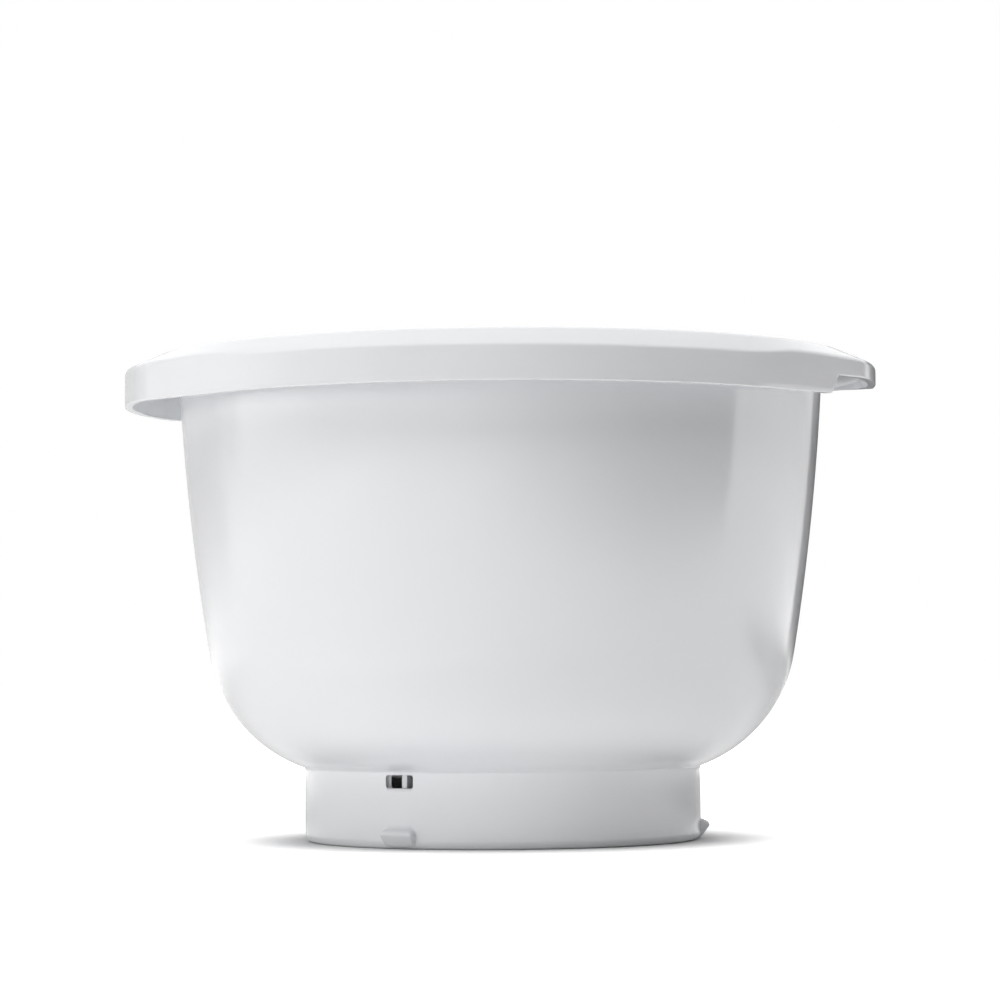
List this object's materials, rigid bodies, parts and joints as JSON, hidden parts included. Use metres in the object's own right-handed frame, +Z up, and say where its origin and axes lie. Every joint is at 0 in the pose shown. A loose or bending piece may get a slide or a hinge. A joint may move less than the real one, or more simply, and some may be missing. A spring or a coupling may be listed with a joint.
{
  "type": "stand mixer bowl",
  "caption": "Tapered plastic mixing bowl with a domed, hollow-skirted rim widened into two grips and a short hollow foot with bayonet lugs.",
  "frame": {"origin": "middle of the foot's bottom plane, on the bowl's axis", "axes": "+Z up along the bowl's axis, +X towards the grip whose skirt has the finger recess, the rim longest along X"},
  "size_m": [0.2494, 0.234, 0.16],
  "materials": {
    "bowl_plastic": "glossy moulded white polypropylene, very slightly cool"
  },
  "bodies": {
    "root": {"mixing_bowl": "bowl_plastic"}
  },
  "joints": []
}
